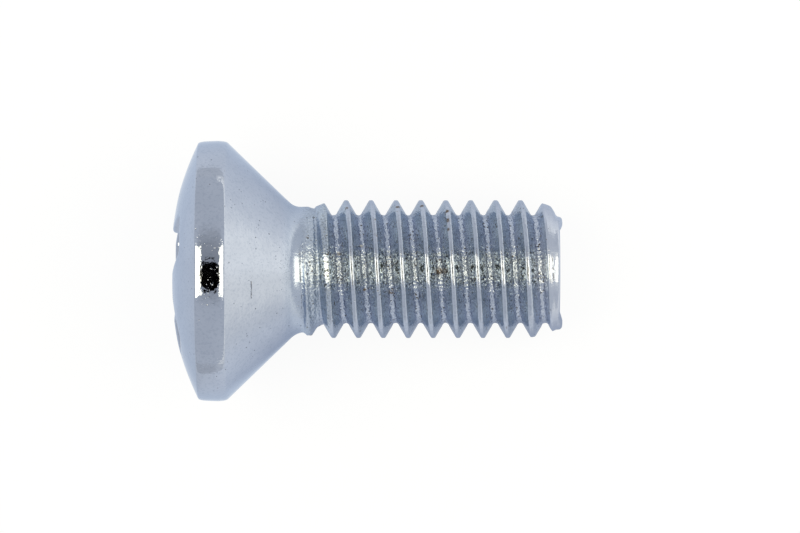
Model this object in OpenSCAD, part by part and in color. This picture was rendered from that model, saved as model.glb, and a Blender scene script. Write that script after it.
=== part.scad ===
/* [Head] */
// Diameter over the straight edge of the head
head_d = 7.32; // [7:0.02:7.6]
// Height of that edge
rim_h = 0.74; // [0.4:0.02:1]
// Rounding of the two corners of the edge
rim_round = 0.1; // [0.05:0.01:0.15]
// Rise of the domed top above the edge
dome_h = 0.87; // [0.6:0.01:1.1]
// Full angle of the cone that sits in the countersink
seat_angle = 90; // [85:1:95]
// Radius between the cone and the neck
seat_fillet = 0.45; // [0.2:0.05:0.6]

/* [Cross recess] */
// Diameter across the ends of two opposite wings, at the surface
recess_d = 4.7; // [4.2:0.05:5]
// Width of a wing at the surface
wing_w = 1.2; // [1:0.05:1.4]
// Distance from the axis to the flat between two wings, at the surface
web_r = 1.35; // [1.2:0.01:1.5]
// Depth of the point of the recess below the top of the dome
recess_depth = 2.5; // [2.2:0.05:2.8]
// Slope of the wing ends to the axis
wing_slope = 13.25; // [12:0.25:15]
// Slope of the flats between the wings to the axis
web_slope = 5.75; // [4:0.25:8]
// Full angle of the cone at the bottom
floor_angle = 140; // [130:1:150]
// Turn of the wings about the axis
recess_turn = 60; // [0:1:89]

/* [Shank] */
// Length from the top of the straight edge to the end
length = 10.13; // [8:0.01:20]
// Diameter of the plain neck under the head
neck_d = 3.53; // [3.4:0.01:3.6]
// Length of the neck, from the point where the cone meets it to the first groove
neck_l = 0.36; // [0.3:0.01:1]
// Depth of the hollow that rolling the thread leaves in the end
hollow_depth = 0.1; // [0.05:0.01:0.15]
// Diameter of that hollow
hollow_d = 2.4; // [2:0.1:2.8]

/* [Thread] */
// Diameter over the crests
thread_d = 3.89; // [3.84:0.01:3.98]
// Diameter at the bottom of the grooves
root_d = 3.05; // [2.98:0.01:3.12]
// Distance from one crest to the next
pitch = 0.7; // [0.65:0.01:0.75]
// Full angle between the two flanks
flank_angle = 60; // [55:1:60]
// Width of a crest
crest_w = 0.0875; // [0.06:0.0025:0.12]
// Length over which the crest grows out of the neck
crest_in = 0.97; // [0.5:0.01:1.2]
// Length over which the groove sinks to its full depth
groove_in = 0.5; // [0.3:0.01:0.7]
// Radius that rounds off the last crests
tip_round = 2.3; // [2:0.1:4]
// Length of that rounding
tip_l = 1.15; // [0.5:0.01:1.2]
// Turn of the thread about the axis
thread_turn = 118; // [0:1:359]
// Facets in one turn
turn_steps = 48; // [24:4:60]

/* [Hidden] */
$fn = 96;
head_r = head_d / 2;
neck_r = neck_d / 2;
crest_r = thread_d / 2;
root_r = root_d / 2;
half_seat = seat_angle / 2;
half_flank = flank_angle / 2;

// Places along the axis count from the top of the straight edge towards the end
cone_tip_z = rim_h + (head_r - neck_r) / tan(half_seat);
groove_z = cone_tip_z + neck_l;
crest_z = cone_tip_z + neck_l / 2;
tip_z = length - tip_l;

// The dome passes through the top of the edge
dome_r = (head_r ^ 2 + dome_h ^ 2) / (2 * dome_h);
dome_z = dome_r - dome_h;

// Centres of the rounded corners of the edge and of the fillet, as [radius, place]
corner_r = head_r - rim_round;
top_corner = [corner_r, dome_z - sqrt((dome_r - rim_round) ^ 2 - corner_r ^ 2)];
low_corner = [corner_r, rim_h - rim_round * tan(half_seat / 2)];
top_corner_angle = asin(corner_r / (dome_r - rim_round)) - 90;
fillet_at = [neck_r + seat_fillet, cone_tip_z + seat_fillet * tan(half_seat / 2)];

// Points of an arc about c, from angle a to angle b
function arc(c, r, a, b, steps) =
    [for (i = [0:steps]) c + r * [cos(a + (b - a) * i / steps), sin(a + (b - a) * i / steps)]];

// Half section of the head and the neck, with a core that reaches into the thread
core_z = groove_z + groove_in;
core_step = 0.2;

module blank_section() {
    corner = arc(top_corner, rim_round, top_corner_angle, 0, 4);
    intersection() {
        translate([0, dome_z]) circle(dome_r);
        polygon(concat(
            [[0, -dome_h - 1], [corner[0][0], -dome_h - 1]],
            corner,
            arc(low_corner, rim_round, 0, half_seat, 4),
            arc(fillet_at, seat_fillet, 180 + half_seat, 180, 6),
            [
                [neck_r, groove_z],
                [root_r, core_z],
                [root_r - core_step, core_z + core_step],
                [0, core_z + core_step]
            ]
        ));
    }
}

// Cross of four wings, drawn at the top of the dome and narrowing with depth
module wings() {
    reach = recess_d;
    web_x = web_r * sqrt(2) - wing_w / 2;
    narrow = 1 - recess_depth * tan(web_slope) / web_r;
    linear_extrude(recess_depth, scale = narrow)
        polygon([
            for (q = [0:3], p = [[web_x, -1], [reach, -1], [reach, 1], [web_x, 1]])
                let (x = p[0], y = p[1] * wing_w / 2)
                [x * cos(90 * q) - y * sin(90 * q), x * sin(90 * q) + y * cos(90 * q)]
        ]);
}

// Cone that ends the wings, with the flat cone of the recess's floor
module wing_ends() {
    surface = dome_h - (dome_r - sqrt(dome_r ^ 2 - (recess_d / 2) ^ 2));
    draft = tan(wing_slope);
    rise = 1 / tan(floor_angle / 2);
    depth = recess_depth - dome_h + surface;
    floor_r = (recess_d / 2 - depth * draft) / (1 - rise * draft);
    top_r = recess_d / 2 + (dome_h - surface + 1) * draft;
    rotate_extrude()
        polygon([
            [0, -dome_h - 1],
            [top_r, -dome_h - 1],
            [floor_r, recess_depth - dome_h - floor_r * rise],
            [0, recess_depth - dome_h]
        ]);
}

module recess() {
    intersection() {
        translate([0, 0, -dome_h - 0.01]) rotate(recess_turn) wings();
        wing_ends();
    }
}

// Radius of the crest at a place along the axis: it grows out of the neck and falls at the tip
root_round = ((pitch - crest_w) / 2 - (crest_r - root_r) * tan(half_flank))
    * cos(half_flank) / (1 - sin(half_flank));
low_crest = root_r + root_round * (1 - sin(half_flank)) + 0.01;

function fall(z) = z < tip_z ? 0
    : tip_round - sqrt(tip_round ^ 2 - (min(z, length) - tip_z) ^ 2);
function rise(z) = (crest_r - neck_r) * min(1, (z - crest_z) / crest_in);
function crest_at(z) = max(low_crest, min(neck_r + rise(z), crest_r - fall(z)));

// One crest and the groove behind it, as [offset along the axis, radius]
function thread_section(z) =
    let (r = crest_at(z), w = crest_w / 2 + (crest_r - r) * tan(half_flank))
    concat(
        [[-w, r], [w, r]],
        arc([pitch / 2, root_r + root_round], root_round, 180 + half_flank, 360 - half_flank, 3)
    );

// Right-hand thread: one strip wound up the axis, each turn joined to the one before
thread_z = cone_tip_z - pitch * (1 - thread_turn / 360);
rows = ceil(turn_steps * ((length - thread_z) / pitch + 0.3));
across = len(thread_section(0));

function row_z(i) = thread_z + pitch * i / turn_steps;
function on_thread(i, p) =
    [p[1] * cos(360 * i / turn_steps), p[1] * sin(360 * i / turn_steps), row_z(i) + p[0]];
function at(i, j) = j == across ? at(i + turn_steps, 0)
    : i > rows ? (rows + 1) * across + i - rows - 1
    : i * across + j;

module thread_rod() {
    strip = [for (i = [0:rows], p = thread_section(row_z(i))) on_thread(i, p)];
    last_edge = [for (i = [rows + 1:rows + turn_steps]) on_thread(i, thread_section(row_z(i))[0])];
    ends = [[0, 0, thread_z], [0, 0, row_z(rows + turn_steps)]];
    first = len(strip) + len(last_edge);
    polyhedron(concat(strip, last_edge, ends), concat(
        [for (i = [0:rows - 1], j = [0:across - 1]) [at(i, j), at(i, j + 1), at(i + 1, j + 1)]],
        [for (i = [0:rows - 1], j = [0:across - 1]) [at(i, j), at(i + 1, j + 1), at(i + 1, j)]],
        [for (i = [0:turn_steps - 1]) [at(i, 0), at(i + 1, 0), first]],
        [for (j = [0:across - 1]) [at(0, j + 1), at(0, j), first]],
        [for (i = [rows:rows + turn_steps - 1]) [at(i + 1, 0), at(i, 0), first + 1]],
        [for (j = [0:across - 1]) [at(rows, j), at(rows, j + 1), first + 1]]
    ));
}

module thread() {
    hollow_r = ((hollow_d / 2) ^ 2 + hollow_depth ^ 2) / (2 * hollow_depth);
    difference() {
        intersection() {
            thread_rod();
            translate([0, 0, thread_z - pitch]) cylinder(r = thread_d, h = length - thread_z + pitch);
        }
        translate([0, 0, length - hollow_depth + hollow_r]) sphere(hollow_r);
    }
}

// The screw on its own axis, head towards -Z
module upright_screw() {
    difference() {
        rotate_extrude() blank_section();
        recess();
    }
    thread();
}

// Lying down it touches the floor with the low corner of the edge and one crest near the end
low_crests = [for (z = [thread_z + pitch / 2:pitch:length - crest_w]) if (z > length / 2) z];
leans = [
    for (z = low_crests)
        let (dz = z - low_corner[1], dr = low_corner[0] - crest_at(z))
        atan(dr / dz) + asin(rim_round / norm([dz, dr]))
];
lean = min(leans);
floor_z = low_corner[0] * cos(lean) + low_corner[1] * sin(lean) + rim_round;
left_x = dome_z * cos(lean) - dome_r;
right_x = length * cos(lean) + root_r * sin(lean);

module screw() {
    color([0.74, 0.78, 0.86])
        translate([-(left_x + right_x) / 2, 0, floor_z])
            rotate([180, lean - 90, 0])
                upright_screw();
}

screw();
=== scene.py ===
"""A plated machine screw with a raised countersunk head and a cross recess, lying on a pale floor."""
import math

import bpy
import numpy as np
from mathutils import Matrix, Vector, noise


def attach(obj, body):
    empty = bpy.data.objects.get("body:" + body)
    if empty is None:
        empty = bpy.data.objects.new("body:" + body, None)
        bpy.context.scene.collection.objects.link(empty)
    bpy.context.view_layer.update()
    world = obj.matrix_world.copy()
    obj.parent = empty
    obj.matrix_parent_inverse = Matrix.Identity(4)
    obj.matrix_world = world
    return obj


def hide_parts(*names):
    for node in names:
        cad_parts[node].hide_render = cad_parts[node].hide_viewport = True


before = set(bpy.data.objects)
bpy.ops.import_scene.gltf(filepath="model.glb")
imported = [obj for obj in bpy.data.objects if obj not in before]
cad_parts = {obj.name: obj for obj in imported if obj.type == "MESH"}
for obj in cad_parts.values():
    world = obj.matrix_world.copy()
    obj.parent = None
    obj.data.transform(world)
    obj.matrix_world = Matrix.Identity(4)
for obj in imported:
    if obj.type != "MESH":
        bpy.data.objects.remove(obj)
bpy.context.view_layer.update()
scene = bpy.context.scene

# Sizes, in mm
# Places along the axis count from the top of the head's straight edge towards the end.
HEAD_R = 3.66
RIM_H = 0.74  # height of the straight edge
RIM_ROUND = 0.1  # rounding of the edge's corners
DOME_H = 0.87
HALF_SEAT = math.radians(45)
FILLET = 0.45  # radius between the cone and the neck
NECK_R = 1.765
LENGTH = 10.13
CREST_R = 1.945
CREST_W = 0.0875
ROOT_R = 1.525
PITCH = 0.7
TURN = 118 / 360  # of the thread about the axis
TIP_ROUND = 2.3  # radius that rounds off the last crests
TIP_L = 1.15  # length of that rounding

# The cross recess
RECESS_R = 2.35  # to the ends of the wings, at the surface
WING = 0.58  # half the width of a wing
WEB = 1.26  # from the axis to the flat between two wings
DEEP = 2.5  # from the top of the dome to the bottom
RECESS_TURN = math.radians(63)
WING_SLOPE, WEB_SLOPE, FLOOR_SLOPE = (math.tan(math.radians(a)) for a in (13.25, 5.75, 20))
MOUTH_EDGE = 0.13  # width of the rounding at the surface
FLOOR_EDGE = 0.12  # width of the rounding at the bottom
FLOOR_TIP = 0.1  # rounding of the bottom's point

# How this screw differs from its plain sizes, beginning with its head
HEAD_OFF = 0.054  # the head stands off the shank's axis
SEAT_R = 3.634  # the cone's radius at the low end of the straight edge
SEAT_TAN = 0.967  # the cone's slope to the axis
NECK_ROUND = 0.53  # radius between this cone and the neck
TOP_FLAT, FLAT_R = 0.02, 2  # the dome is flatter in the middle, out to this radius
TOP_FULL, FULL_FROM, FULL_TO = 0.025, 1.4, 2.4  # and fuller outside it
# The straight edge is crowned about its middle: half width, fall and power towards the dome and towards the cone
EDGE_MIDDLE, EDGE_OUT = 0.39, 0.008
TOP_CROWN, LOW_CROWN = (0.436, 0.033, 4.8), (0.389, 0.061, 3.0)
RIM_TAPER = 0.025  # the edge is narrower towards the dome
EDGE_SOFT = 0.016  # softness of its two corners
# Its thread
CREST_WEAR = 0.008
CREST_SOFT = 0.038  # softness between crest and flank
NECK_SOFT, START_SOFT = 0.03, 0.03  # softness between thread and neck, and what the first turn has on top
ROOT_LOW, END_ROOT_LOW = 0.015, 0.06  # the grooves are deeper, and deeper still at the end
MOST_FALL = 0.235  # of the last crests below their full height
# Its end: the face stands back but for two lips, has a round edge and is dished
END_BACK, END_LIP, END_EDGE, END_DISH, DISH_R = 0.06, 0.09, 0.12, 0.1, 1.2

TAN30, COS30 = math.tan(math.radians(30)), math.cos(math.radians(30))
TAN_HALF = math.tan(HALF_SEAT / 2)
CONE_TIP = RIM_H + (HEAD_R - NECK_R) / math.tan(HALF_SEAT)
TIP_Z = LENGTH - TIP_L
FACE_Z = LENGTH - END_BACK
THREAD_Z = CONE_TIP - PITCH * (1 - TURN)
DOME_R = (HEAD_R ** 2 + DOME_H ** 2) / (2 * DOME_H)
DOME_Z = DOME_R - DOME_H
LOW_CORNER = (HEAD_R - RIM_ROUND, RIM_H - RIM_ROUND * TAN_HALF)
FILLET_Z = CONE_TIP + FILLET * TAN_HALF
ROOT_ROUND = ((PITCH - CREST_W) / 2 - (CREST_R - ROOT_R) * TAN30) * COS30 / 0.5

# How it lies: on the low corner of the straight edge and on one crest near the end
low_crest = THREAD_Z + PITCH / 2
contact_z = low_crest + PITCH * math.floor((LENGTH - CREST_W - low_crest) / PITCH)
contact_r = CREST_R - (TIP_ROUND - math.sqrt(TIP_ROUND ** 2 - (contact_z - TIP_Z) ** 2))
dz, dr = contact_z - LOW_CORNER[1], LOW_CORNER[0] - contact_r
LEAN = math.atan(dr / dz) + math.asin(RIM_ROUND / math.hypot(dz, dr))
COS, SIN = math.cos(LEAN), math.sin(LEAN)
FLOOR = LOW_CORNER[0] * COS + LOW_CORNER[1] * SIN + RIM_ROUND
MIDDLE = (DOME_Z * COS - DOME_R + LENGTH * COS + ROOT_R * SIN) / 2
# From the screw's own axes (z towards the end, x up) to the frame; both in metres
LAID = Matrix(((SIN, 0, COS, -MIDDLE / 1000), (0, -1, 0, 0), (COS, 0, -SIN, FLOOR / 1000), (0, 0, 0, 1)))


def laid(x, y, z):
    """A place on the screw's own axes, in mm, as a place in the frame."""
    return LAID @ Vector((x / 1000, y / 1000, z / 1000))


def laid_way(x, y, z):
    """A direction on the screw's own axes as a direction in the frame."""
    return LAID.to_3x3() @ Vector((x, y, z))


# Profiles
def arc(c, r, a, b, n):
    """Points of an arc about c, from angle a to angle b."""
    t = np.linspace(a, b, n)
    return np.stack([c[0] + r * np.cos(t), c[1] + r * np.sin(t)], 1)


def soft_max(a, b, k):
    """The larger of two values, with a round of about k where they cross."""
    h = np.clip(0.5 + 0.5 * (a - b) / k, 0, 1)
    return b + (a - b) * h + k * h * (1 - h)


def soft_min(a, b, k):
    return -soft_max(-a, -b, k)


def smooth(x, low, high):
    """A smooth step from 0 at low to 1 at high."""
    t = np.clip((x - low) / (high - low), 0, 1)
    return t * t * (3 - 2 * t)


def dome(r):
    """Height of the head's top, a little flatter in the middle than a sphere and a little fuller outside it."""
    flat = TOP_FLAT * np.maximum(0, 1 - (r / FLAT_R) ** 2) ** 2
    full = TOP_FULL * smooth(r, FULL_FROM, FULL_TO)
    return DOME_Z - np.sqrt(DOME_R ** 2 - r ** 2) + flat - full


def recess_floor(r):
    """Height of the recess's bottom, a cone with a round point."""
    return DEEP - DOME_H - (np.sqrt(r ** 2 + FLOOR_TIP ** 2) - FLOOR_TIP) * FLOOR_SLOPE


seat_half = math.atan(SEAT_TAN)
seat_tip = RIM_H + (SEAT_R - NECK_R) / SEAT_TAN
fillet_at = (NECK_R + NECK_ROUND, seat_tip + NECK_ROUND * math.tan(seat_half / 2))
fillet = arc(fillet_at, NECK_ROUND, math.pi + seat_half, math.pi, 24)
PAST_END = 99
# The cone, the fillet and the neck, which runs out into the first groove, as places and radii
blank_zr = np.array(
    [(0, SEAT_R + RIM_H * SEAT_TAN)] + [(z, r) for r, z in fillet]
    + [(3.02, 1.755), (3.18, 1.702), (3.26, 1.645), (3.495, ROOT_R), (3.8, ROOT_R - 0.4), (PAST_END, 0)]
)
# The crest's radius along the axis: it rises early, dips, and reaches its height after the first turn
crest_zr = np.array([
    (2.85, 1.715), (2.99, 1.87), (3.15, 1.88), (3.25, 1.77), (3.46, 1.86), (3.72, CREST_R), (PAST_END, CREST_R)
])
START_END = (3.4, 3.6)  # where the thread's first turn ends


def blank(z):
    """Radius of the head's cone, the fillet, the neck and its run-out."""
    return np.interp(z, blank_zr[:, 0], blank_zr[:, 1])


def relief(turn, z):
    """Radius of the shank at a turn (0 to 1) about the axis and a place along it."""
    t = (z - THREAD_Z) / PITCH - turn
    off = (t - np.round(t)) * PITCH
    past = np.clip(z - TIP_Z, 0, 1.9)
    fall = np.minimum(TIP_ROUND - np.sqrt(TIP_ROUND ** 2 - past ** 2), MOST_FALL)
    top = np.interp(z, crest_zr[:, 0], crest_zr[:, 1]) - CREST_WEAR - fall
    flank = CREST_R - (np.abs(off) - CREST_W / 2) / TAN30
    low = np.abs(PITCH / 2 - np.abs(off))
    root = ROOT_R + ROOT_ROUND - np.sqrt(np.maximum(ROOT_ROUND ** 2 - low ** 2, 0))
    root = root - ROOT_LOW - END_ROOT_LOW * smooth(z, LENGTH - 0.2, LENGTH)
    groove = np.where(low < ROOT_ROUND * COS30, root, flank)
    return soft_max(soft_min(top, groove, CREST_SOFT), blank(z), NECK_SOFT + START_SOFT * (1 - smooth(z, *START_END)))


# Columns
# Every ring has the same columns, the points of the recess's outline: in half a wing, END steps round its end,
# FLANK steps along its side and FLAT steps to the middle of the flat between two wings.
END, FLANK, FLAT = 10, 8, 11
HALF_WING = END + FLANK + FLAT
COLUMNS = 8 * HALF_WING
FIRST_COLUMN = math.radians(15)  # where the columns would begin if they stood evenly
CORNER_BLEND = ((-2, 1), (-1, 2), (0, 3), (1, 2), (2, 1))  # neighbours and their weights
wing, step = np.divmod(np.arange(COLUMNS), 2 * HALF_WING)
step = step - HALF_WING
wing_turn = RECESS_TURN + wing * math.pi / 2


def outline(z):
    """Where each column of the recess stands at the places z along the axis, as an array of x and y."""
    shrink = 1 - (z + DOME_H) * WEB_SLOPE / WEB
    half, corner, middle = WING * shrink, (WEB * math.sqrt(2) - WING) * shrink, WEB * shrink / math.sqrt(2)
    end_r = RECESS_R - (z - dome(RECESS_R)) * WING_SLOPE
    end_x = np.sqrt(end_r ** 2 - half ** 2)
    n = np.abs(step)
    swing = np.arcsin(half / end_r) * n / END
    side, flat = (n - END) / FLANK, (n - END - FLANK) / FLAT
    x = np.where(n <= END, end_r * np.cos(swing), np.where(
        side <= 1, end_x + (corner - end_x) * side, corner + (middle - corner) * flat))
    y = np.where(n <= END, end_r * np.sin(swing), np.where(side <= 1, half, half + (middle - half) * flat))
    y = y * np.sign(step)
    cos, sin = np.cos(wing_turn), np.sin(wing_turn)
    x, y = x * cos - y * sin, x * sin + y * cos
    # The corners are a little rounded
    return sum(weight * np.roll([x, y], k, 1) for k, weight in CORNER_BLEND) / 9


def on_wall(z):
    return np.stack([*outline(z), z])


def meet(height):
    """The recess's outline where it meets the surface height(r), as x, y and z."""
    z = np.zeros(COLUMNS)
    for _ in range(12):
        z = height(np.hypot(*outline(z)))
    return on_wall(z)


def outward(points):
    """Unit normals of a ring, across the axis."""
    along = np.roll(points, -1, 1)[:2] - np.roll(points, 1, 1)[:2]
    return np.stack([along[1], -along[0]]) / np.hypot(*along)


def bend(a, b, c, n):
    """Rings of a rounded edge from a to c round the corner b, without its last ring."""
    return [(1 - t) ** 2 * a + 2 * t * (1 - t) * b + t * t * c for t in np.linspace(0, 1, n, endpoint=False)]


def between(a, b, n):
    """Steps from a to b, without the last one."""
    return [a + (b - a) * t for t in np.linspace(0, 1, n, endpoint=False)]


mouth, bottom = meet(dome), meet(recess_floor)
# The columns stand half way between even angles and those of the recess's mouth
even = FIRST_COLUMN + np.arange(COLUMNS) / COLUMNS * 2 * math.pi
swing = np.arctan2(mouth[1], mouth[0])
swing = even + (swing - even + math.pi) % (2 * math.pi) - math.pi
ANGLE = 0.5 * (even + swing)
TURNS = ANGLE / (2 * math.pi)
ROUND = np.stack([np.cos(ANGLE), np.sin(ANGLE)])


def ring(r, z):
    """A circle about the axis, or a wavy one where r and z differ from column to column."""
    return np.stack([*(ROUND * r), np.zeros(COLUMNS) + z])


# The head: first the recess, from the middle of its bottom up to the dome
floor_in = bottom[:2] - FLOOR_EDGE * outward(bottom)
floor_in = np.stack([*floor_in, recess_floor(np.hypot(*floor_in))])
wall_low, wall_high = on_wall(bottom[2] - FLOOR_EDGE), on_wall(mouth[2] + MOUTH_EDGE)
dome_in = mouth[:2] + MOUTH_EDGE * outward(mouth)
dome_in = np.stack([*dome_in, dome(np.hypot(*dome_in))])

rings = []
for share in (0.03, 0.12, 0.25, 0.42, 0.6, 0.8):
    flat = floor_in[:2] * share
    rings.append(np.stack([*flat, recess_floor(np.hypot(*flat))]))
rings += bend(floor_in, bottom, wall_low, 4)
rings += [on_wall(z) for z in between(wall_low[2], wall_high[2], 7)]
rings += bend(wall_high, mouth, dome_in, 5)


# Half section from the dome over the edge to the cone: the edge is a little crowned, and its corners are soft
def crown(z, half, fall, power):
    """How far the straight edge falls back from its middle towards one side."""
    return fall * np.abs((z - EDGE_MIDDLE) / half) ** power


DOME_POINTS, EDGE_POINTS, CONE_POINTS = 40, 400, 150
DOME_FROM, CONE_TO = 3.3, 2.12  # the section's first radius and its last place
FINE, REACH = 0.005, 30  # step of the smoothed section, and the steps that smoothing looks to either side

z = np.linspace(EDGE_MIDDLE - TOP_CROWN[0], EDGE_MIDDLE + LOW_CROWN[0], EDGE_POINTS)
fall = np.where(z < EDGE_MIDDLE, crown(z, *TOP_CROWN), crown(z, *LOW_CROWN))
r = HEAD_R + EDGE_OUT - fall - RIM_TAPER * (1 - z / RIM_H)
edge = np.stack([r, z], 1)[(z > dome(r)) & (r < blank(z))]
top_r = np.linspace(DOME_FROM, edge[0][0], DOME_POINTS)
section = np.concatenate([
    np.stack([top_r, dome(top_r)], 1)[:-1], edge,
    between(edge[-1], np.array([blank(CONE_TO), CONE_TO]), CONE_POINTS)[1:],
])
run = np.concatenate([[0], np.cumsum(np.hypot(*np.diff(section, axis=0).T))])
top_run, low_run = run[DOME_POINTS - 1], run[DOME_POINTS - 2 + len(edge)]
fine = np.arange(0, run[-1], FINE)
section = np.stack([np.interp(fine, run, section[:, k]) for k in (0, 1)], 1)
weights = np.exp(-0.5 * (np.arange(-REACH, REACH + 1) * FINE / EDGE_SOFT) ** 2)
weights /= weights.sum()
section = np.stack([np.convolve(section[:, k], weights, "valid") for k in (0, 1)], 1)
fine = fine[REACH:-REACH]

# Rings stand close at the two corners and wide elsewhere
corner_rings = np.array([-0.1, -0.07, -0.045, -0.025, -0.01, 0.01, 0.025, 0.045, 0.07, 0.1, 0.135, 0.17])
stops = np.concatenate([
    [fine[0]], top_run + corner_rings,
    np.linspace(top_run + corner_rings[-1], low_run - corner_rings[-1], 8)[1:-1],
    low_run + corner_rings, np.linspace(low_run + 0.2, fine[-1], 14),
])
profile = np.stack([np.interp(stops, fine, section[:, k]) for k in (0, 1)], 1)
for share in np.linspace(0, 1, 13, endpoint=False):
    flat = (1 - share) * dome_in[:2] + share * ROUND * profile[0][0]
    rings.append(np.stack([*flat, dome(np.hypot(*flat))]))
rings += [ring(r, z) for r, z in profile]

# The shank: its rows follow the thread. A turn of it has ROWS rows, and each row climbs one PITCH in a turn.
HALF_ROWS = (0, 0.03, 0.046, 0.062, 0.09, 0.14, 0.19, 0.235, 0.262, 0.285, 0.306, 0.328, 0.35)
row_off = np.array(HALF_ROWS + tuple(PITCH - off for off in HALF_ROWS[-2:0:-1]))
ROWS = len(row_off)
FIRST_TURN, LAST_TURN = -3, 13  # turns of rows, from the crest at THREAD_Z; those past the shank are dropped
SNAP = 0.012  # rows this near to the first or the last ring are dropped too

lip = smooth(np.abs(np.sin(ANGLE)), 0.8, 0.97)
end_z = FACE_Z + END_LIP * lip
end_start = end_z - END_EDGE
row = np.arange(FIRST_TURN * ROWS, LAST_TURN * ROWS)
row_z = THREAD_Z + PITCH * (row // ROWS)[:, None] + row_off[row % ROWS][:, None] + PITCH * TURNS[None, :]
alive = (row_z > CONE_TO + SNAP) & (row_z < end_start - SNAP)

coords, ids = [], np.zeros(row_z.shape, int)


def add(points):
    """Stores a ring's points and returns their numbers."""
    first = len(coords)
    coords.extend(points.T)
    return list(range(first, first + points.shape[1]))


ring_ids = [add(points) for points in rings]
low_ids = add(ring(blank(CONE_TO), CONE_TO))
end_r = relief(TURNS, end_start)
high_ids = add(ring(end_r, end_start))
for i in range(COLUMNS):
    z = row_z[:, i]
    # A dropped row shares the point of the ring at its end of the shank
    ids[:, i] = np.where(z > CONE_TO + 1, high_ids[i], low_ids[i])
    rows = np.nonzero(alive[:, i])[0]
    r = relief(TURNS[i], z[rows])
    ids[rows, i] = add(np.stack([r * ROUND[0][i], r * ROUND[1][i], z[rows]]))

face_r = end_r - END_EDGE
end_rings = [add(points) for points in bend(ring(end_r, end_start), ring(end_r, end_z), ring(face_r, end_z), 5)[1:]]
for share in (1, 0.95, 0.9, 0.84, 0.76, 0.66, 0.54, 0.4, 0.26, 0.12, 0.04):
    r = face_r * share
    lifted = (end_z - FACE_Z) * smooth(share, 0.8, 0.95)
    dished = END_DISH * np.sqrt(np.clip(1 - (r / DISH_R) ** 2, 0, 1)) ** 3
    end_rings.append(add(ring(r, FACE_Z + lifted - dished)))

faces = []


def join(a, b):
    """Quads between two rings of numbers."""
    for i in range(COLUMNS):
        j = (i + 1) % COLUMNS
        faces.append((a[i], a[j], b[j], b[i]))


def close(numbers, point, inward):
    """A fan from a ring to one point on the axis."""
    centre = add(np.array([point]).T)[0]
    for i in range(COLUMNS):
        j = (i + 1) % COLUMNS
        faces.append((numbers[i], numbers[j], centre) if inward else (centre, numbers[j], numbers[i]))


close(ring_ids[0], (0, 0, recess_floor(0)), False)
for a, b in zip(ring_ids, ring_ids[1:] + [low_ids]):
    join(a, b)
for g in range(len(row) - ROWS - 1):
    for i in range(COLUMNS):
        # The last column meets the first one a whole turn of rows higher up
        j, up = (i + 1, 0) if i + 1 < COLUMNS else (0, ROWS)
        corners = list(dict.fromkeys((ids[g][i], ids[g + up][j], ids[g + up + 1][j], ids[g + 1][i])))
        if len(corners) > 2:
            faces.append(corners)
for a, b in zip([high_ids] + end_rings, end_rings):
    join(a, b)
close(end_rings[-1], (0, 0, FACE_Z - END_DISH), True)
coords = np.array(coords)

# Rolling marks roughen the roots, the crests are nicked here and there, and the rest is faintly uneven
UNEVEN, SHANK_FINE, CREST_FINE = 0.0012, 0.0015, 0.002
ROOT_ROUGH, RUN_OUT_SHARE = 0.015, 0.22
NICK, NICK_OVER = 0.02, 0.35
for k, (x, y, z) in enumerate(coords):
    r = math.hypot(x, y)
    if z < LOW_CORNER[1] or r < 0.3:
        continue
    spot = Vector((x, y, z))
    in_shank = smooth(z, FILLET_Z - 0.1, FILLET_Z + 0.3) * (1 - smooth(z, LENGTH - 0.2, LENGTH - 0.05))
    run_out = smooth(z, 2.95, 3.05) * (1 - smooth(z, 3.3, 3.5))
    in_root = in_shank * max(RUN_OUT_SHARE * run_out, 1 - smooth(r, ROOT_R + 0.04, ROOT_R + 0.14))
    on_crest = in_shank * smooth(r, CREST_R - 0.1, CREST_R - 0.02)
    fine = noise.noise(spot * 8.5) + 0.6 * noise.noise(spot * 17 + Vector((7, 3, 1)))
    wide = noise.noise(spot * 2.1 + Vector((3, 9, 5)))
    nick = min(0, noise.noise(spot * 4.3 + Vector((1, 1, 8))) + NICK_OVER)
    out = (UNEVEN * wide + in_shank * SHANK_FINE * fine + in_root * ROOT_ROUGH * fine
           + on_crest * (NICK * nick + CREST_FINE * fine))
    coords[k] = (x * (1 + out / r), y * (1 + out / r), z)
coords[:, 1] += HEAD_OFF * (1 - smooth(coords[:, 2], 2.4, 3.1))

mesh = bpy.data.meshes.new("screw_body")
mesh.from_pydata([laid(*point) for point in coords], [], faces)
mesh.validate()
mesh.shade_smooth()
screw = bpy.data.objects.new("screw_body", mesh)
scene.collection.objects.link(screw)


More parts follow.
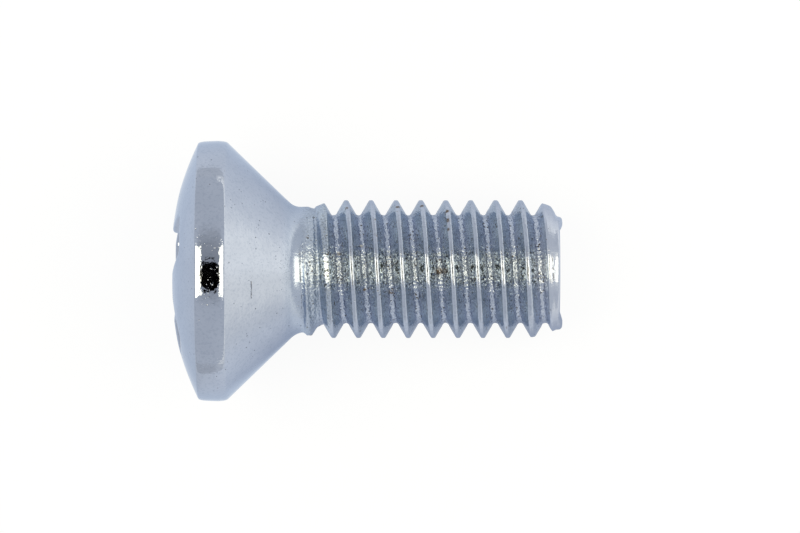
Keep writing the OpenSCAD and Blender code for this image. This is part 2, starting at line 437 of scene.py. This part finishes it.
# Materials
class Nodes:
    """Short hand for a node tree: each call adds nodes and returns an output."""

    def __init__(self, tree):
        self.tree = tree
        tree.nodes.clear()

    def add(self, kind, inputs=(), out=0, **settings):
        made = self.tree.nodes.new(kind)
        for name, value in settings.items():
            setattr(made, name, value)
        for key, value in dict(inputs).items():
            if isinstance(value, bpy.types.NodeSocket):
                self.tree.links.new(value, made.inputs[key])
            else:
                made.inputs[key].default_value = value
        return made.outputs[out] if made.outputs else made

    def math(self, operation, a, b=0.0, c=0.0, clamp=False):
        return self.add("ShaderNodeMath", {0: a, 1: b, 2: c}, operation=operation, use_clamp=clamp)

    def times(self, first, *more):
        """Multiplies values."""
        for value in more:
            first = self.math("MULTIPLY", first, value)
        return first

    def total(self, *pairs, start=0.0):
        """Adds the products of pairs of values to a start."""
        for a, b in pairs:
            start = self.math("MULTIPLY_ADD", a, b, start)
        return start

    def apart(self, a, b):
        """How far two values are apart."""
        return self.math("ABSOLUTE", self.math("SUBTRACT", a, b))

    def range(self, value, low, high, to_low=0.0, to_high=1.0):
        """A smooth step between two values of another one. Low may be the larger of the two."""
        inputs = {"Value": value, "From Min": low, "From Max": high, "To Min": to_low, "To Max": to_high}
        return self.add("ShaderNodeMapRange", inputs, interpolation_type="SMOOTHSTEP")

    def zone(self, value, rise, fall):
        """1 between a rise and a fall, each given as its two ends from low to high, and 0 outside them."""
        return self.times(self.range(value, *rise), self.range(value, fall[1], fall[0]))

    def noise(self, vector, scale, detail=3.0, rough=0.55):
        inputs = {"Vector": vector, "Scale": scale, "Detail": detail, "Roughness": rough}
        return self.add("ShaderNodeTexNoise", inputs)

    def patches(self, vector, low, high, *noise_settings):
        """Soft patches, where a noise goes from low to high."""
        return self.range(self.noise(vector, *noise_settings), low, high)

    def dots(self, vector, scale, outer, inner):
        """A dot in each cell of a pattern of this scale."""
        return self.range(self.add("ShaderNodeTexVoronoi", {"Vector": vector, "Scale": scale}), outer, inner)

    def spot(self, vector, centre, outer, inner):
        """One ball about a centre."""
        return self.range(self.vector("DISTANCE", vector, centre, out="Value"), outer, inner)

    def blend(self, factor, a, b):
        """Mixes two numbers."""
        return self.add("ShaderNodeMix", {0: factor, 2: a, 3: b})

    def mix(self, factor, a, b):
        """Mixes two colours."""
        return self.add("ShaderNodeMix", {0: factor, 6: a, 7: b}, out=2, data_type="RGBA")

    def vector(self, operation, a, b=(0, 0, 0), out=0):
        return self.add("ShaderNodeVectorMath", {0: a, 1: b}, out=out, operation=operation)


def material(name):
    made = bpy.data.materials.new(name)
    made.use_nodes = True
    return made, Nodes(made.node_tree)


def own_place(n):
    """The place on the screw's own axes, in mm: as a vector, x, y, z, and the distance from the axis."""
    place = n.vector("SUBTRACT", n.add("ShaderNodeTexCoord", out="Object"), LAID.translation)
    axes = ((1, 0, 0), (0, 1, 0), (0, 0, 1))
    x, y, z = (n.vector("DOT_PRODUCT", place, 1000 * laid_way(*axis), out="Value") for axis in axes)
    radius = n.vector("LENGTH", n.add("ShaderNodeCombineXYZ", {0: x, 1: y}), out="Value")
    return n.add("ShaderNodeCombineXYZ", {0: x, 1: y, 2: z}), x, y, z, radius


# Zones along the axis, each as the two ends of its rise and of its fall
CONE_ZONE = (0.72, 0.78), (2.5, 2.8)
NECK_ZONE = (2.2, 2.6), (3.3, 3.5)
RUN_OUT_ZONE = (2.8, 2.9), (3.22, 3.38)
SHANK_ZONE = (2.75, 3.1), (LENGTH - 0.35, LENGTH - 0.2)
# The front is the side towards the camera. Angles about the axis count from there, in radians here.
FRONT, SEAM_FRONT = (0.4, 0.2), (0.3, 0.16)

# Colours of the plate
CLOUD_LOW, CLOUD_HIGH = (0.49, 0.53, 0.62, 1), (0.52, 0.56, 0.65, 1)
GRAIN = (0.32, 0.37, 0.46, 1)
# The neck's tint is lighter than the plate: a painted sheen for the softbox light its rough surface spreads
FLANK_BLUE, NECK_PAINTED_SHEEN, END_PALE = (0.44, 0.502, 0.572, 1), (0.5, 0.58, 0.7, 1), (0.64, 0.67, 0.76, 1)
# Painted shade, laid on the roots on the camera side only
ROOT_FRONT_SHADE = (0.28, 0.31, 0.33, 1)
# Dark flecks, a mottle that is partly painted shade, and light flecks, which are painted glints
DARK_FLECK_AND_SHADE, PAINTED_GLINT = (0.16, 0.18, 0.19, 1), (0.92, 0.95, 0.92, 1)
# The black is painted reflections of the camera's dark lens; the brown is specks of dirt
LENS_REFLECTION_BLACK, SPECK_BROWN = (0.03, 0.035, 0.03, 1), (0.09, 0.07, 0.05, 1)
PIT_GREY = (0.12, 0.12, 0.13, 1)
STAIN_BROWN = (0.13, 0.08, 0.035, 1)
# Brown of the crest seam and the lines, which along the front is also a painted reflection of the camera's dark lens
SEAM_BROWN_AND_LENS_REFLECTION = (0.1, 0.08, 0.07, 1)
EDGE_ON = (0.78, 0.84, 0.93, 1)  # where it is seen at a grazing angle

# The seam along the crest, in turns: how far it wanders, its half width, and the half width of its core
SEAM_WANDER, SEAM_W, SEAM_CORE = 0.06, 0.026, 0.01
# Lines round the axis: place along it, from and to which angle in degrees, and half width
LINES = [(1.5, 4, 17, 0.02), (2.82, -17, 8, 0.016), (2.79, 30, 36, 0.01), (2.86, 22, 40, 0.01), (2.9, -24, -4, 0.012)]
# Brown stains on crests and in roots: distance from the axis, angle about it, place along it, and size
STAINS = [
    (1.94, -62, 4.10, 0.08), (1.94, -64, 5.54, 0.09), (1.94, -66, 6.21, 0.09), (1.94, -57, 6.90, 0.11),
    (1.94, -45, 6.92, 0.11), (1.94, -35, 6.93, 0.08), (1.55, 22, 4.63, 0.08), (1.55, -25, 4.55, 0.08),
    (1.6, -52, 5.2, 0.08), (1.55, -16, 3.9, 0.09), (1.6, -62, 8.0, 0.07), (1.55, 2, 6.68, 0.15), (1.55, 25, 5.36, 0.10),
]
# Painted reflections of the camera's dark lens, as black specks beside the crests along the front: their distance from
# the axis, and angle, place along it and size
LENS_SPECK_R = 1.78
LENS_SPECKS = [
    (-3, 5.09, 0.08), (-0.6, 5.52, 0.12), (-0.6, 6.2, 0.13), (3, 6.45, 0.08), (-1.4, 7.19, 0.09), (-1.4, 7.58, 0.09),
    (-0.6, 7.88, 0.11), (-1.4, 8.3, 0.12), (1, 8.58, 0.09), (-2, 9.02, 0.09), (1, 9.3, 0.1),
]
BUMP_HEIGHT = 0.000004  # in metres, for a height of 1


def round_axis(radius, degrees, along):
    """A place on the screw's own axes from its distance, its angle and its place along the axis."""
    return radius * math.cos(math.radians(degrees)), radius * math.sin(math.radians(degrees)), along


def scratches(n, place, along, angle, crests):
    """The seam that rolling leaves along the crest, full only along the front, where its dark colour is a painted
    reflection of the camera's dark lens, and lines that run round the cone and the neck.
    """
    turns = n.math("DIVIDE", n.math("SUBTRACT", along, THREAD_Z), PITCH)
    turns = n.math("SUBTRACT", turns, n.math("DIVIDE", angle, 2 * math.pi))
    off = n.apart(n.math("FRACT", n.math("ADD", turns, 0.5)), 0.5)
    wander = n.times(n.math("SUBTRACT", n.noise(place, 5.0, 2), 0.5), SEAM_WANDER)
    seam = n.range(n.math("ABSOLUTE", n.math("ADD", off, wander)), SEAM_W, SEAM_CORE)
    seam = n.times(seam, crests, n.patches(place, 0.46, 0.54, 9.0, 2))
    # Away from the front the seam keeps an eighth of its strength; along the front its dark colour is a painted
    # reflection of the camera's dark lens
    seam = n.times(seam, n.range(n.math("ABSOLUTE", angle), *SEAM_FRONT, 0.12, 1.0))
    for line_z, first, last, width in LINES:
        middle, half = math.radians(first + last) / 2, math.radians(last - first) / 2
        line = n.times(
            n.range(n.apart(along, line_z), width, 0.3 * width),
            n.range(n.apart(angle, middle), half, 0.7 * half),
            n.patches(place, 0.42, 0.52, 11.0, 2),
        )
        seam = n.math("MAXIMUM", seam, line)
    return seam


def zinc_plate():
    made, n = material("zinc_plate")
    place, toward, across, along, radius = own_place(n)
    angle = n.math("ARCTAN2", across, toward)

    shank, cone, neck = n.zone(along, *SHANK_ZONE), n.zone(along, *CONE_ZONE), n.zone(along, *NECK_ZONE)
    run_out = n.zone(along, *RUN_OUT_ZONE)
    roots = n.math("MAXIMUM", n.range(radius, ROOT_R + 0.16, ROOT_R + 0.03), n.times(run_out, 0.42))
    roots = n.times(shank, roots)
    fall = n.range(along, TIP_Z + 0.1, LENGTH - 0.1, 0, MOST_FALL)
    crests = n.range(n.math("ADD", radius, fall), CREST_R - 0.05, CREST_R - 0.015)
    crests = n.times(crests, n.range(along, 2.9, 3.0))
    flanks = n.math("SUBTRACT", shank, n.math("MAXIMUM", roots, crests), clamp=True)
    front = n.range(n.math("ABSOLUTE", angle), *FRONT)
    seam = scratches(n, place, along, angle, crests)

    # Drops of plating, pits, and specks beside the crests
    drops = n.times(n.dots(place, 15.0, 0.34, 0.1), n.patches(place, 0.45, 0.6, 4.0, 2))
    pits = n.times(n.dots(place, 6.0, 0.16, 0.08), n.patches(place, 0.5, 0.6, 2.7, 2))
    specks = n.times(n.dots(place, 9.0, 0.3, 0.2), shank, n.patches(place, 0.5, 0.56, 3.7, 3))
    specks = n.times(specks, n.range(crests, 0.0, 1.0, 1.0, 0.0))

    # Flecks in the grooves, strongest along the front: dark ones, a mottle with painted shade added along the front;
    # light ones, painted glints; and black specks, painted reflections of the camera's dark lens
    dark_flecks_and_shade = n.times(n.patches(place, 0.5, 0.6, 21, 1), flanks, n.total((front, 0.35), start=0.5))
    light = n.times(n.patches(place, 0.47, 0.38, 19, 1), flanks, n.total((front, 0.55), start=0.2))
    lens_reflection = n.times(n.dots(place, 11.0, 0.46, 0.28), flanks, n.patches(place, 0.45, 0.51, 5.3, 2), front, 0.95)
    for degrees, z, size in LENS_SPECKS:
        spot = n.spot(place, round_axis(LENS_SPECK_R, degrees, z), size, 0.6 * size)
        spot = n.times(spot, n.patches(place, 0.38, 0.46, 17, 2), flanks)
        lens_reflection = n.math("MAXIMUM", lens_reflection, spot)

    stain = n.times(n.patches(place, 0.66, 0.72, 5, 4, 0.7), shank)
    patchy = n.patches(place, 0.36, 0.48, 14, 3, 0.7)
    for stain_r, degrees, z, size in STAINS:
        spot = n.spot(place, round_axis(stain_r, degrees, z), size, 0.4 * size)
        stain = n.math("MAXIMUM", stain, n.times(spot, patchy))

    # Layers of colour from the bottom up: where, how strong, and which
    grain = n.noise(place, 13, 1, 0.5)
    colour = n.mix(n.patches(place, 0.35, 0.65, 1.3, 4), CLOUD_LOW, CLOUD_HIGH)
    for mask, strength, layer in (
        (n.range(grain, 0.5, 0.68), 0.25, GRAIN),
        (flanks, 0.6, FLANK_BLUE),
        # Painted shade: the roots greyed on the camera side only
        (n.times(roots, front), 0.4, ROOT_FRONT_SHADE),
        # Dark flecks, with painted shade along the front
        (dark_flecks_and_shade, 1.0, DARK_FLECK_AND_SHADE),
        # Painted glints
        (light, 1.0, PAINTED_GLINT),
        # Painted reflections of the camera's dark lens
        (lens_reflection, 1.0, LENS_REFLECTION_BLACK),
        (n.range(along, 9.3, 9.5), 0.45, END_PALE),
        # Painted sheen: the neck is lightened
        (neck, 0.35, NECK_PAINTED_SHEEN),
        (pits, 0.75, PIT_GREY),
        (stain, 0.9, STAIN_BROWN),
        (specks, 0.9, SPECK_BROWN),
        # The seam's brown, along the front a painted reflection of the camera's dark lens
        (seam, 0.6, SEAM_BROWN_AND_LENS_REFLECTION),
    ):
        colour = n.mix(n.times(mask, strength), colour, layer)

    rough = n.total(
        (roots, 0.1), (shank, 0.03), (crests, 0.1), (neck, 0.2), (stain, 0.3), (n.range(along, 9.3, 9.6), 0.06),
        start=n.range(n.noise(place, 3.1, 4), 0.35, 0.7, 0.035, 0.075),
    )

    # Turning marks run round the cone, and the roots are coarse from rolling
    turned = n.noise(n.vector("MULTIPLY", place, (0.6, 0.6, 30)), 1.0, 3)
    fine = n.noise(place, 60, 3, 0.6)
    waves = n.noise(place, 4.5, 1)
    coarse = n.total((flanks, 1.5), (roots, 9.0), (n.math("MAXIMUM", crests, neck), 0.5), (run_out, 2.2), start=0.55)
    height = n.total(
        (turned, n.times(cone, 0.3)), (fine, n.total((shank, 0.05), start=0.03)), (grain, coarse),
        (waves, n.total((neck, 1.5), start=1.2)), (drops, 0.35), (pits, -1.5), (specks, -1.5), (seam, -1.2),
    )
    bump = n.add("ShaderNodeBump", {"Strength": 1.0, "Distance": BUMP_HEIGHT, "Height": height})

    shader = n.add("ShaderNodeBsdfPrincipled", {
        "Base Color": colour, "Metallic": 1.0, "Roughness": rough, "Normal": bump, "Specular Tint": EDGE_ON,
    })
    n.add("ShaderNodeOutputMaterial", {"Surface": shader})
    return made


screw.data.materials.append(zinc_plate())
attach(screw, "root")
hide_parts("screw")

# The studio: sizes and places on the floor, and the lamps' sizes, are in metres
WHITE, BLACK = (1, 1, 1, 1), (0, 0, 0, 1)
# A white sheet lies under the screw: half its width, its middle, and half the width of its soft edge
SHEET, SHEET_MIDDLE, SHEET_SOFT = 0.028, -0.002, 0.002
TABLE, PAPER_LOW, PAPER_HIGH = (0.7, 0.7, 0.7, 1), (0.94, 0.94, 0.94, 1), (0.96, 0.96, 0.96, 1)
# Their colours in reflections
TABLE_GLOW, SHEET_GLOW, FAR_GLOW = (0.65, 0.68, 0.72, 1), (0.81, 0.85, 0.9, 1), (1.23, 1.23, 1.17, 1)
SHADE_BLUE = (0, 0.02, 0.15, 1)
# Where the screw's own shade falls, along the floor's x
SHADE_ZONE = (-0.0035, -0.0015), (0.0065, 0.009)


def floor_material():
    """A white sheet under the screw on a pale table. Camera rays see both as white."""
    made, n = material("floor")
    place = n.add("ShaderNodeTexCoord", out="Object")
    x, y = (n.add("ShaderNodeSeparateXYZ", {0: place}, out=k) for k in (0, 1))
    path = n.add("ShaderNodeLightPath").node.outputs
    sheet = n.range(n.apart(y, SHEET_MIDDLE), SHEET + SHEET_SOFT, SHEET - SHEET_SOFT)
    paper = n.mix(n.noise(place, 900.0), PAPER_LOW, PAPER_HIGH)
    matt = n.add("ShaderNodeBsdfDiffuse", {"Color": n.mix(sheet, TABLE, paper), "Roughness": 0.5})

    # In reflections the sheet is white and the table grey, and both are lighter far to the right
    near = n.mix(sheet, TABLE_GLOW, SHEET_GLOW)
    glow = n.mix(n.range(x, -0.002, 0.03), near, FAR_GLOW)
    # and darker on the side towards the picture's lower edge
    away = n.math("MAXIMUM", n.range(x, 0.002, 0.01), n.range(x, -0.003, -0.01))
    glow = n.mix(n.times(away, n.range(y, 0.004, -0.008), 0.12), glow, BLACK)
    # and next to the shank, where its own shade falls
    shade = n.times(n.zone(x, *SHADE_ZONE), n.range(n.math("ABSOLUTE", y), 0.008, 0.002))
    glow = n.mix(n.times(shade, n.range(y, 0.001, -0.001, 0.18, 0.4)), glow, SHADE_BLUE)

    seen = path["Is Camera Ray"]
    glossy = n.math("MAXIMUM", path["Is Glossy Ray"], path["Is Transmission Ray"])
    white = n.add("ShaderNodeEmission", {"Color": n.mix(seen, glow, WHITE), "Strength": 1.0})
    factor = n.times(n.math("MAXIMUM", seen, glossy), 0.9)
    n.add("ShaderNodeOutputMaterial", {"Surface": n.add("ShaderNodeMixShader", {0: factor, 1: matt, 2: white})})
    return made


bpy.ops.mesh.primitive_plane_add(size=3)
floor = bpy.context.object
floor.name = "floor"
floor.data.materials.append(floor_material())

TO_CAMERA, TO_END, ACROSS = laid_way(1, 0, 0), laid_way(0, 0, 1), Vector((0, 1, 0))


def near_camera(degrees):
    """A direction this far from the camera's, towards the picture's upper edge."""
    angle = math.radians(degrees)
    return (TO_CAMERA * math.cos(angle) + ACROSS * math.sin(angle)).normalized()


# The room is darkest about the camera, with the black disc of its lens, and has pale walls at both ends of the screw
DARK_AT, DARK_FROM = 5, 0.75  # degrees from the camera, and cosine of the angle where it starts
ROOM, DARK = 0.715, 0.42
LENS_AT, LENS_EDGE, LENS_CORE = -4.4, 16, 13.2  # all in degrees
WALL_FROM, WALL_TO, WALL = 0.9, 0.98, 0.7  # cosines of angles to the axis, and the walls' strength
FILL = 0.75  # what matt surfaces get
SKY_TINT = (0.9, 0.945, 1, 1)

scene.world = world = bpy.data.worlds.new("studio")
world.use_nodes = True
n = Nodes(world.node_tree)
way = n.vector("NORMALIZE", n.add("ShaderNodeTexCoord", out="Generated"))
path = n.add("ShaderNodeLightPath").node.outputs
side = n.math("ABSOLUTE", n.vector("DOT_PRODUCT", way, TO_END, out="Value"))
to_lens = n.vector("DOT_PRODUCT", way, near_camera(LENS_AT), out="Value")
lens = n.range(to_lens, math.cos(math.radians(LENS_EDGE)), math.cos(math.radians(LENS_CORE)))
room = n.range(n.vector("DOT_PRODUCT", way, near_camera(DARK_AT), out="Value"), DARK_FROM, 1.0, ROOM, DARK)
light = n.blend(n.range(side, WALL_FROM, WALL_TO), room, WALL)
light = n.times(light, n.math("SUBTRACT", 1.0, lens))
light = n.blend(path["Is Diffuse Ray"], light, FILL)
light = n.blend(path["Is Camera Ray"], light, 1.0)
tint = n.mix(path["Is Camera Ray"], SKY_TINT, WHITE)
sky = n.add("ShaderNodeBackground", {"Color": tint, "Strength": light})
n.add("ShaderNodeOutputWorld", {"Surface": sky})

BOX_COLOUR = (1, 0.92, 0.67)
BOX_AWAY, BOX_WIDTH, BOX_HEIGHT, BOX_RADIANCE = 0.5, 0.3, 0.38, 2.4


def softbox(name, azimuth):
    """A lamp over the screw, turned by azimuth from the camera's direction towards the screw's end."""
    data = bpy.data.lights.new(name, "AREA")
    data.color = BOX_COLOUR
    data.shape, data.size, data.size_y = "RECTANGLE", BOX_WIDTH, BOX_HEIGHT
    data.energy = BOX_RADIANCE * math.pi * BOX_WIDTH * BOX_HEIGHT
    lamp = bpy.data.objects.new(name, data)
    scene.collection.objects.link(lamp)
    angle = math.radians(azimuth)
    away = TO_CAMERA * math.cos(angle) + TO_END * math.sin(angle)
    wide = TO_END * math.cos(angle) - TO_CAMERA * math.sin(angle)
    turn = Matrix((wide, ACROSS, wide.cross(ACROSS))).transposed()
    lamp.matrix_world = Matrix.Translation(laid(0, 0, LENGTH / 2) + away * BOX_AWAY) @ turn.to_4x4()
    lamp.visible_camera = False


softbox("left_softbox", -30)
softbox("right_softbox", 30)

# The camera looks across the screw, square to the axis, from where the photograph was taken
CAMERA_AT = laid(165, -0.0727, 5.606)  # in mm on the screw's own axes
data = bpy.data.cameras.new("camera")
data.lens, data.sensor_width = 264.1, 36
data.clip_start = 0.01
camera = bpy.data.objects.new("camera", data)
scene.collection.objects.link(camera)
turn = Matrix((TO_END, ACROSS, TO_CAMERA)).transposed().to_4x4()
camera.matrix_world = Matrix.Translation(CAMERA_AT) @ turn
scene.camera = camera
scene.view_settings.view_transform = "Standard"
